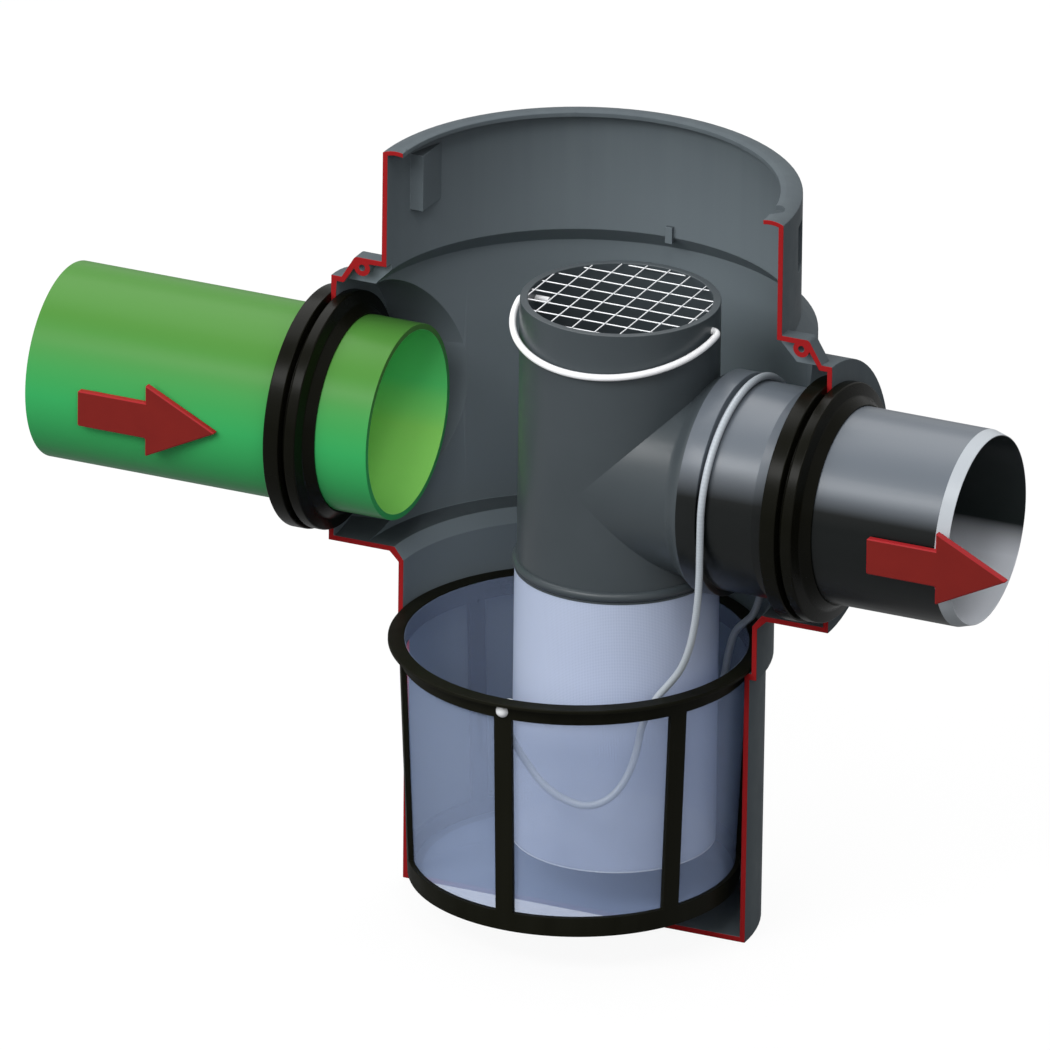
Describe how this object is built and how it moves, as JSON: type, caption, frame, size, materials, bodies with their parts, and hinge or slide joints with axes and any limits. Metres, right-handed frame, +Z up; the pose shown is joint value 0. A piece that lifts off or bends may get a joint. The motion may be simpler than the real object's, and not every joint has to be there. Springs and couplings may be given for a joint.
{
  "type": "rainwater pre-filter",
  "caption": "Cut-open rainwater pre-filter: shaft with sealed inlet and outlet pipes, an overflow tee with a mesh sleeve, and a lift-out leaf basket on a cord.",
  "frame": {"origin": "on the shaft's vertical axis, at the underside of its base", "axes": "+Z up, +X along the pipes from inlet to outlet, +Y towards the kept rear half of the shaft"},
  "size_m": [1.0806, 0.4262, 0.7852],
  "materials": {
    "shaft_plastic": "satin dark grey, red on the cut faces",
    "green_plastic": "glossy green",
    "grey_pipe_plastic": "glossy dark grey",
    "seal_rubber": "smooth black",
    "tee_plastic": "satin dark grey",
    "grid_steel": "bright wire",
    "bail_steel": "white coated wire",
    "sleeve_mesh": "fine pale mesh, see-through",
    "basket_plastic": "satin black",
    "basket_mesh": "fine blue-grey mesh, see-through",
    "anchor_plastic": "white",
    "cord_fibre": "smooth pale grey cord",
    "arrow_red": "dark red"
  },
  "bodies": {
    "filter": {"housing": "shaft_plastic", "inlet_pipe": "green_plastic", "outlet_pipe": "grey_pipe_plastic", "inlet_seal": "seal_rubber", "outlet_seal": "seal_rubber", "tee_body": "tee_plastic", "tee_socket_seal": "seal_rubber", "overflow_grid": "grid_steel", "filter_sleeve": "sleeve_mesh", "sleeve_floor": "sleeve_mesh", "sleeve_collar": "tee_plastic", "basket_frame": "basket_plastic", "basket_mesh": "basket_mesh", "basket_floor": "basket_mesh", "cord_anchor_front": "anchor_plastic", "cord_anchor_rear": "anchor_plastic", "pull_cord": "cord_fibre", "inlet_arrow": "arrow_red", "outlet_arrow": "arrow_red"},
    "bail": {"tee_bail": "bail_steel"}
  },
  "joints": [
    {"name": "bail_swing", "type": "hinge", "parent": "filter", "child": "bail", "pos_m": [0.0432, 0, 0.6556], "axis": [-1, 0, 0], "range_deg": [0, 209]}
  ]
}
